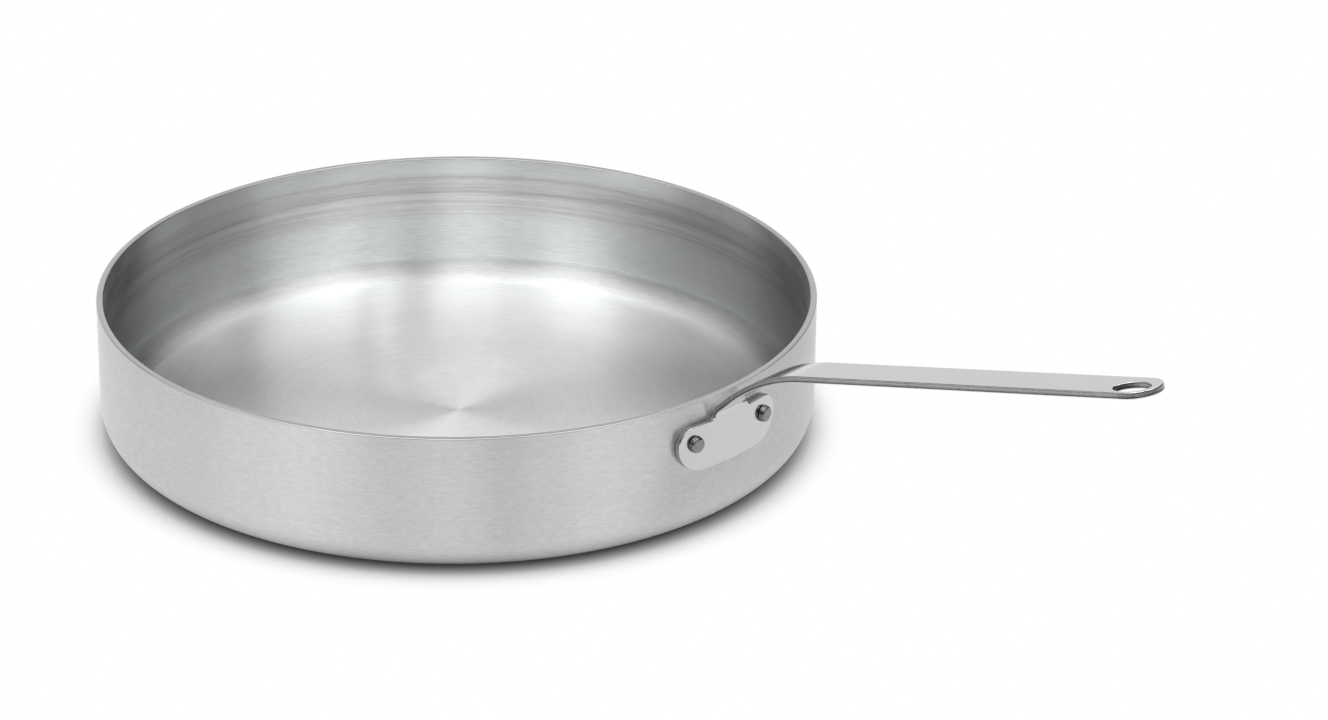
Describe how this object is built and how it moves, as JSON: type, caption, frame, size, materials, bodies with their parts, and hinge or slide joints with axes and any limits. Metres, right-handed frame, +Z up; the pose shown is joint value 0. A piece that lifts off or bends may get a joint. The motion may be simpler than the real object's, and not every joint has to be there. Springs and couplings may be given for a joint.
{
  "type": "saute pan",
  "caption": "Straight-sided saute pan: low round metal body with a flat base and rounded lower corner, and a riveted one-piece strip handle, bent upwards, with a teardrop hanging hole.",
  "frame": {"origin": "on the pan's axis, at the underside of its flat base", "axes": "+Z up along the pan's axis, +X from the axis towards the handle's tip, +Y to the right rivet"},
  "size_m": [0.5284, 0.312, 0.1306],
  "materials": {
    "brushed_aluminium": "brushed round the wall and floor",
    "plated_steel": "smooth bright plating",
    "rivet_aluminium": "dull, as set"
  },
  "bodies": {
    "root": {"pan_body": "brushed_aluminium", "handle": "plated_steel", "rivet_left": "rivet_aluminium", "rivet_right": "rivet_aluminium"}
  },
  "joints": []
}
